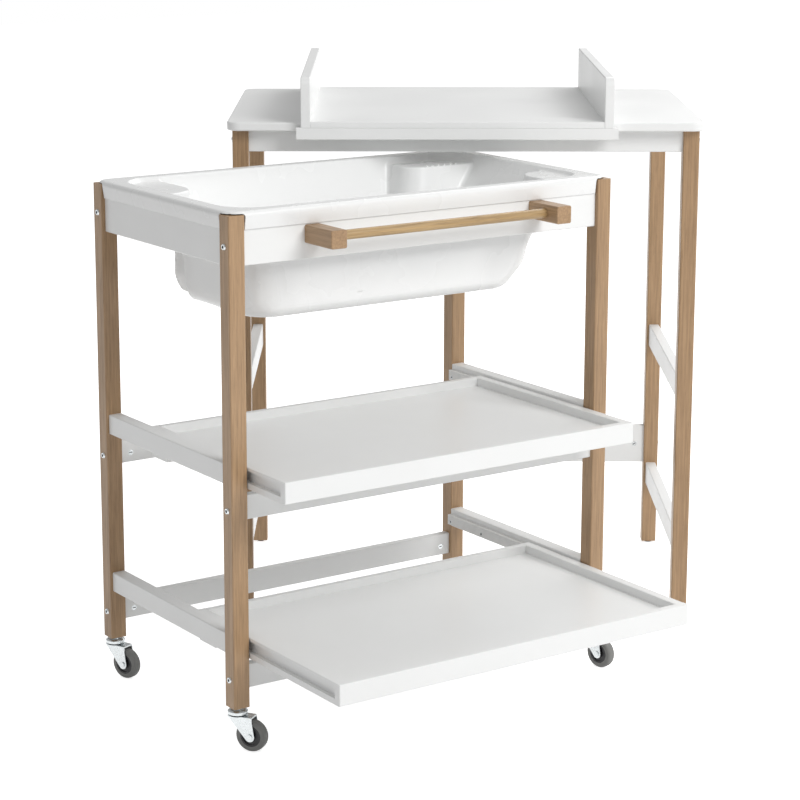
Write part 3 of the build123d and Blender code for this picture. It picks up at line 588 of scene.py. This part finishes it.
class NURSERY_OT_bath(Operator):
    """Moulds the tub and finishes its drain and its plug."""

    bl_idname = "nursery.bath"
    bl_label = "Bath Tub"

    def execute(self, context):
        bath = context.scene.nursery.bath
        plastic = tub_plastic(context)
        shape = joined_shape("bath_tub")
        middle = trolley_middle()
        divide_long_edges(shape, bath.spacing, middle)
        bulge_basin(shape, bath, middle)
        mesh = bpy.data.meshes.new("tub")
        shape.to_mesh(mesh)
        shape.free()
        mesh.shade_smooth()
        mesh.set_sharp_from_angle(angle=math.radians(TUB_SHARP))
        mesh.materials.append(plastic)
        tub = finished_piece("moulded_tub", mesh, "bath", ["bath_tub"])
        even = tub.modifiers.new("Even shading", "WEIGHTED_NORMAL")
        even.keep_sharp = True
        dress(["drain_fitting"], plastic)
        dress(["drain_plug"], plain_plastic("Grey Plug Plastic", (0.30, 0.31, 0.32), 0.4))
        return {"FINISHED"}


FASTENER_SIZES = (
    "Head Radius", "Head Height", "Socket Radius", "Socket Depth", "Shank Radius",
    "Shank Length", "Nut Radius", "Nut Length",
)


def fastener_tree():
    """Bolts or screws and barrel nuts, set on points that hold their direction, with painted shade
    inside their sockets and slots.
    """
    tree = bpy.data.node_groups.new("Fasteners", "GeometryNodeTree")
    tree.interface.new_socket("Points", in_out="INPUT", socket_type="NodeSocketGeometry")
    for label in FASTENER_SIZES:
        tree.interface.new_socket(label, in_out="INPUT", socket_type="NodeSocketFloat")
    for label in ("Metal", "Painted Socket Shade"):
        tree.interface.new_socket(label, in_out="INPUT", socket_type="NodeSocketMaterial")
    tree.interface.new_socket("Geometry", in_out="OUTPUT", socket_type="NodeSocketGeometry")
    graph = Graph(tree)
    given, out = graph.add("NodeGroupInput"), graph.add("NodeGroupOutput")

    def scaled(label, by):
        """A size times a number."""
        node = graph.add("ShaderNodeMath", operation="MULTIPLY")
        node.inputs[1].default_value = by
        graph.join(given.outputs[label], node.inputs[0])
        return node.outputs[0]

    def moved(geometry, height):
        """Geometry shifted along Z by a value."""
        offset = graph.add("ShaderNodeCombineXYZ")
        graph.join(height, offset.inputs["Z"])
        place = graph.add("GeometryNodeTransform")
        graph.join(geometry, place.inputs["Geometry"])
        graph.join(offset.outputs["Vector"], place.inputs["Translation"])
        return place.outputs["Geometry"]

    def painted(geometry, label):
        """Geometry with one of the given materials."""
        paint = graph.add("GeometryNodeSetMaterial")
        graph.join(geometry, paint.inputs["Geometry"])
        graph.join(given.outputs[label], paint.inputs["Material"])
        return paint.outputs["Geometry"]

    def cut(solid_part, cutter):
        """One solid less another."""
        node = graph.add("GeometryNodeMeshBoolean", operation="DIFFERENCE", solver="EXACT")
        graph.join(solid_part, node.inputs["Mesh 1"])
        graph.join(cutter, node.inputs["Mesh 2"])
        return node.outputs["Mesh"]

    def on_points(geometry, kind):
        """Instances on the points of one kind, turned to face outwards."""
        wanted = graph.add("GeometryNodeInputNamedAttribute", data_type="BOOLEAN")
        wanted.inputs["Name"].default_value = kind
        facing = graph.add("GeometryNodeInputNamedAttribute", data_type="FLOAT_VECTOR")
        facing.inputs["Name"].default_value = "facing"
        turn = graph.add("FunctionNodeAlignRotationToVector", axis="Z")
        graph.join(facing.outputs["Attribute"], turn.inputs["Vector"])
        place = graph.add("GeometryNodeInstanceOnPoints")
        graph.join(given.outputs["Points"], place.inputs["Points"])
        graph.join(wanted.outputs["Attribute"], place.inputs["Selection"])
        graph.join(geometry, place.inputs["Instance"])
        graph.join(turn.outputs["Rotation"], place.inputs["Rotation"])
        return place.outputs["Instances"]

    head = graph.add("GeometryNodeMeshCone", Vertices=24)
    graph.join(scaled("Head Radius", HEAD_TAPER), head.inputs["Radius Top"])
    graph.join(given.outputs["Head Radius"], head.inputs["Radius Bottom"])
    graph.join(given.outputs["Head Height"], head.inputs["Depth"])
    socket = graph.add("GeometryNodeMeshCylinder", Vertices=6)
    graph.join(given.outputs["Socket Radius"], socket.inputs["Radius"])
    graph.join(scaled("Socket Depth", 2), socket.inputs["Depth"])
    shank = graph.add("GeometryNodeMeshCylinder", Vertices=12)
    graph.join(given.outputs["Shank Radius"], shank.inputs["Radius"])
    graph.join(given.outputs["Shank Length"], shank.inputs["Depth"])
    raised_head = moved(head.outputs["Mesh"], scaled("Head Height", -1))
    # The socket cutter carries the painted shade material, so the faces it leaves inside the head
    # are painted dark as shade.
    open_head = cut(painted(raised_head, "Metal"), painted(socket.outputs["Mesh"], "Painted Socket Shade"))
    low_shank = moved(shank.outputs["Mesh"], scaled("Shank Length", -0.5))
    below_head = moved(low_shank, scaled("Head Height", -1))
    bolt = graph.add("GeometryNodeJoinGeometry")
    graph.join(open_head, bolt.inputs["Geometry"])
    graph.join(painted(below_head, "Metal"), bolt.inputs["Geometry"])

    barrel = graph.add("GeometryNodeMeshCylinder", Vertices=24)
    graph.join(given.outputs["Nut Radius"], barrel.inputs["Radius"])
    graph.join(given.outputs["Nut Length"], barrel.inputs["Depth"])
    slot_size = graph.add("ShaderNodeCombineXYZ")
    for direction, share in SLOT_SHARES.items():
        graph.join(scaled("Nut Radius", share), slot_size.inputs[direction])
    slot_cut = graph.add("GeometryNodeMeshCube")
    graph.join(slot_size.outputs["Vector"], slot_cut.inputs["Size"])
    low_barrel = moved(barrel.outputs["Mesh"], scaled("Nut Length", -0.5))
    # The slot cutter also carries the painted shade material, so the slot in each barrel nut is
    # painted dark as shade.
    nut = cut(painted(low_barrel, "Metal"), painted(slot_cut.outputs["Mesh"], "Painted Socket Shade"))

    both = graph.add("GeometryNodeJoinGeometry")
    graph.join(on_points(bolt.outputs["Geometry"], "bolt"), both.inputs["Geometry"])
    graph.join(on_points(nut, "nut"), both.inputs["Geometry"])
    real = graph.add("GeometryNodeRealizeInstances")
    graph.join(both.outputs["Geometry"], real.inputs["Geometry"])
    # All faces except the painted shade inside the sockets and slots get the metal.
    inside = graph.add("GeometryNodeMaterialSelection")
    graph.join(given.outputs["Painted Socket Shade"], inside.inputs["Material"])
    outside = graph.add("FunctionNodeBooleanMath", operation="NOT")
    graph.join(inside.outputs["Selection"], outside.inputs[0])
    last = graph.add("GeometryNodeSetMaterial")
    graph.join(real.outputs["Geometry"], last.inputs["Geometry"])
    graph.join(outside.outputs[0], last.inputs["Selection"])
    graph.join(given.outputs["Metal"], last.inputs["Material"])
    graph.join(last.outputs["Geometry"], out.inputs["Geometry"])
    return tree


def separate_solids(node):
    """The corner points of each separate solid in a CAD node."""
    shape = joined_shape(node)
    seen = set()
    solids = []
    for start in shape.verts:
        if start in seen:
            continue
        seen.add(start)
        waiting, points = [start], []
        while waiting:
            vert = waiting.pop()
            points.append(vert.co.copy())
            for edge in vert.link_edges:
                other = edge.other_vert(vert)
                if other not in seen:
                    seen.add(other)
                    waiting.append(other)
        solids.append(points)
    shape.free()
    return solids


def ends_of(points, axis):
    """Radius and middle of a turned solid's two ends along an axis."""
    reach = [point.dot(axis) for point in points]
    ends = []
    for level in (min(reach), max(reach)):
        ring = [point for point, at in zip(points, reach) if abs(at - level) < END_DEPTH]
        middle = sum(ring, Vector()) / len(ring)
        ends.append((max((point - middle).length for point in ring), middle))
    return ends


def fastener_places(node, along, across):
    """Place, direction, length and kind of each solid of a CAD node of fasteners."""
    low, high = box_of(node)
    centre = (low + high) / 2
    places = []
    for points in separate_solids(node):
        axis = along
        (low_radius, low_end), (high_radius, high_end) = ends_of(points, along)
        span = (high_end - low_end).length
        is_bolt = span > LONGEST_NUT
        is_high = high_radius > low_radius
        if not is_bolt:
            axis = across
            (_, low_end), (_, high_end) = ends_of(points, across)
            is_high = (centre - low_end).dot(across) > 0
        place, facing = (high_end, axis) if is_high else (low_end, -axis)
        places.append((place, facing, span, is_bolt))
    return places


def fasteners(name, node, along, across, sizes, materials):
    """One mesh of all bolts or screws of a CAD node, with its barrel nuts."""
    bodies = frame["record"]["behaviour"]["bodies"]
    body = next(label for label, nodes in bodies.items() if node in nodes)
    places = fastener_places(node, along, across)
    mesh = bpy.data.meshes.new(name)
    mesh.from_pydata([place for place, _, _, _ in places], [], [])
    facings = mesh.attributes.new("facing", "FLOAT_VECTOR", "POINT")
    bolts = mesh.attributes.new("bolt", "BOOLEAN", "POINT")
    nuts = mesh.attributes.new("nut", "BOOLEAN", "POINT")
    for index, (_, facing, _, is_bolt) in enumerate(places):
        facings.data[index].vector = facing
        bolts.data[index].value = is_bolt
        nuts.data[index].value = not is_bolt
    spans = [span for _, _, span, is_bolt in places if is_bolt]
    sizes = {**sizes, "Shank Length": max(spans) - sizes["Head Height"]}
    seed = bpy.data.objects.new(name + "_points", mesh)
    bpy.context.scene.collection.objects.link(seed)
    modifier = seed.modifiers.new("Fasteners", "NODES")
    modifier.node_group = bpy.data.node_groups.get("Fasteners") or fastener_tree()
    for item in modifier.node_group.interface.items_tree:
        if item.in_out == "INPUT" and item.name in sizes:
            modifier[item.identifier] = sizes[item.name]
        if item.in_out == "INPUT" and item.name in materials:
            modifier[item.identifier] = materials[item.name]
    bpy.context.view_layer.update()
    evaluated = seed.evaluated_get(bpy.context.evaluated_depsgraph_get())
    result = bpy.data.meshes.new_from_object(evaluated)
    bpy.data.objects.remove(seed)
    if not result.polygons:
        raise RuntimeError(f"no fasteners were made for {node}")
    result.name = name
    result.shade_smooth()
    result.set_sharp_from_angle(angle=math.radians(FASTENER_SHARP))
    return finished_piece(name, result, body, [node])


class NURSERY_OT_hardware(Operator):
    """Finishes casters, runners, glides, bolts and screws."""

    bl_idname = "nursery.hardware"
    bl_label = "Casters and Fasteners"

    def execute(self, context):
        hardware = context.scene.nursery.hardware
        metal = zinc(context)
        # A dark matt material that paints the shade inside the sockets and slots.
        socket_shade = plain_plastic("Painted Socket Shadow", hardware.socket_shade, 0.6)
        materials = {"Metal": metal, "Painted Socket Shade": socket_shade}
        dress(node_names("caster_fork", "caster_stems"), metal)
        east, north = Vector((1, 0, 0)), Vector((0, 1, 0))
        turned = Matrix.Rotation(math.radians(TABLE_TURN), 3, "Z")
        bolt = {
            **BOLT_SIZES,
            "Head Radius": hardware.bolt_head,
            "Socket Radius": hardware.bolt_socket,
            "Nut Radius": hardware.nut,
        }
        runner = {**bolt, **RUNNER_SCREW_SIZES, "Head Radius": hardware.runner_head}
        handle = {**bolt, **HANDLE_SCREW_SIZES, "Head Radius": hardware.handle_head}
        fasteners("trolley_bolt_set", "trolley_bolts", east, north, bolt, materials)
        fasteners("table_bolt_set", "table_bolts", turned @ east, turned @ north, bolt, materials)
        fasteners("runner_screw_set", "runner_screws", east, north, runner, materials)
        fasteners("handle_screw_set", "handle_screws", north, east, handle, materials)
        black = plain_plastic("Black Plastic", hardware.black, 0.38)
        dress(node_names("caster_hub", "table_glides"), black)
        dress(node_names("caster_tyre"), plain_plastic("Grey Rubber", hardware.rubber, 0.6))
        strip = plain_plastic("White Runner Plastic", (0.8, 0.8, 0.79), 0.4)
        dress(node_names("tray_runners"), strip)
        return {"FINISHED"}


def area_lamp(name, place, target, size, power):
    """A soft square lamp that looks at a point."""
    data = bpy.data.lights.new(name, "AREA")
    data.energy = power
    data.size = size
    lamp = bpy.data.objects.new(name, data)
    lamp.location = place
    lamp.rotation_euler = (Vector(target) - Vector(place)).to_track_quat("-Z", "Y").to_euler()
    bpy.context.scene.collection.objects.link(lamp)
    return lamp


def floor_material(tone, glow_share):
    """A pale floor that is white to the camera where no shadow falls."""
    made = bpy.data.materials.new("Studio Floor")
    made.use_nodes = True
    graph = Graph(made.node_tree)
    graph.tree.nodes.clear()
    diffuse = graph.add("ShaderNodeBsdfDiffuse", Color=solid(tone))
    glow = graph.add("ShaderNodeEmission", Color=(1, 1, 1, 1))
    path = graph.add("ShaderNodeLightPath")
    seen = graph.add("ShaderNodeMath", operation="MAXIMUM")
    graph.join(path.outputs["Is Camera Ray"], seen.inputs[0])
    graph.join(path.outputs["Is Glossy Ray"], seen.inputs[1])
    lift = graph.add("ShaderNodeMath", operation="MULTIPLY")
    lift.inputs[1].default_value = glow_share
    graph.join(seen.outputs["Value"], lift.inputs[0])
    graph.join(lift.outputs["Value"], glow.inputs["Strength"])
    both = graph.add("ShaderNodeAddShader")
    graph.join(diffuse.outputs["BSDF"], both.inputs[0])
    graph.join(glow.outputs["Emission"], both.inputs[1])
    end = graph.add("ShaderNodeOutputMaterial")
    graph.join(both.outputs["Shader"], end.inputs["Surface"])
    return made


def white_world(strength):
    """Plain surroundings that are white to the camera and weaker as a light."""
    world = bpy.data.worlds.new("Studio")
    world.use_nodes = True
    graph = Graph(world.node_tree)
    graph.tree.nodes.clear()
    path = graph.add("ShaderNodeLightPath")
    seen = graph.add("ShaderNodeMath", operation="MAXIMUM")
    graph.join(path.outputs["Is Camera Ray"], seen.inputs[0])
    graph.join(path.outputs["Is Transmission Ray"], seen.inputs[1])
    level = graph.add("ShaderNodeMapRange", To_Min=strength, To_Max=1)
    graph.join(seen.outputs["Value"], level.inputs["Value"])
    light = graph.add("ShaderNodeBackground", Color=(1, 1, 1, 1))
    graph.join(level.outputs["Result"], light.inputs["Strength"])
    end = graph.add("ShaderNodeOutputWorld")
    graph.join(light.outputs["Background"], end.inputs["Surface"])
    return world


class NURSERY_OT_stage(Operator):
    """Sets up the camera, the floor and the lamps."""

    bl_idname = "nursery.stage"
    bl_label = "Camera, Floor and Lamps"

    def execute(self, context):
        scene = context.scene
        studio = scene.nursery.studio
        middle = trolley_middle()
        data = bpy.data.cameras.new("Camera")
        data.lens = CAMERA_LENS
        data.sensor_width = CAMERA_SENSOR
        data.shift_x, data.shift_y = CAMERA_SHIFT
        data.clip_end = CAMERA_REACH
        camera = bpy.data.objects.new("Camera", data)
        camera.location = middle + CAMERA_PLACE
        camera.rotation_euler = [math.radians(angle) for angle in CAMERA_ANGLES]
        scene.collection.objects.link(camera)
        scene.camera = camera
        scene.view_settings.view_transform = "Standard"
        scene.world = white_world(studio.sky)

        floor_mesh = bpy.data.meshes.new("floor")
        shape = bmesh.new()
        bmesh.ops.create_grid(shape, x_segments=1, y_segments=1, size=FLOOR_HALF)
        shape.to_mesh(floor_mesh)
        shape.free()
        floor_mesh.materials.append(floor_material(studio.floor, studio.glow))
        floor = bpy.data.objects.new("floor", floor_mesh)
        floor.location.z = -FLOOR_DROP
        scene.collection.objects.link(floor)

        axes = VIEW_FORWARD, VIEW_RIGHT, Vector((0, 0, 1))
        target = middle + axes[2] * LAMP_AIM
        for name, shares, size, power in (
            ("key", KEY_PLACE, KEY_SIZE, studio.key),
            ("back", BACK_PLACE, BACK_SIZE, studio.back),
        ):
            away = sum((axis * share for axis, share in zip(axes, shares)), Vector())
            area_lamp(name, middle + away, target, size, power)
        return {"FINISHED"}


OPERATORS = (
    NURSERY_OT_stage,
    NURSERY_OT_wood,
    NURSERY_OT_boards,
    NURSERY_OT_bath,
    NURSERY_OT_hardware,
)


class NURSERY_PT_main(Panel):
    """Lists the steps and their settings in the sidebar."""

    bl_idname = "NURSERY_PT_main"
    bl_label = "Changing Table"
    bl_space_type = "VIEW_3D"
    bl_region_type = "UI"
    bl_category = "Nursery"

    def draw(self, context):
        for name, kind in SETTINGS.items():
            box = self.layout.box()
            box.label(text=name.title())
            group = getattr(context.scene.nursery, name)
            for setting in kind.__annotations__:
                box.prop(group, setting)
        for operator in OPERATORS:
            self.layout.operator(operator.bl_idname)


CLASSES = (*SETTINGS.values(), NurserySettings, *OPERATORS, NURSERY_PT_main)


def register():
    for kind in CLASSES:
        bpy.utils.register_class(kind)
    bpy.types.Scene.nursery = PointerProperty(type=NurserySettings)


def unregister():
    del bpy.types.Scene.nursery
    for kind in reversed(CLASSES):
        bpy.utils.unregister_class(kind)


def main():
    """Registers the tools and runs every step."""
    register()
    for operator in OPERATORS:
        group, call = operator.bl_idname.split(".")
        getattr(getattr(bpy.ops, group), call)()


if __name__ == "__main__":
    main()
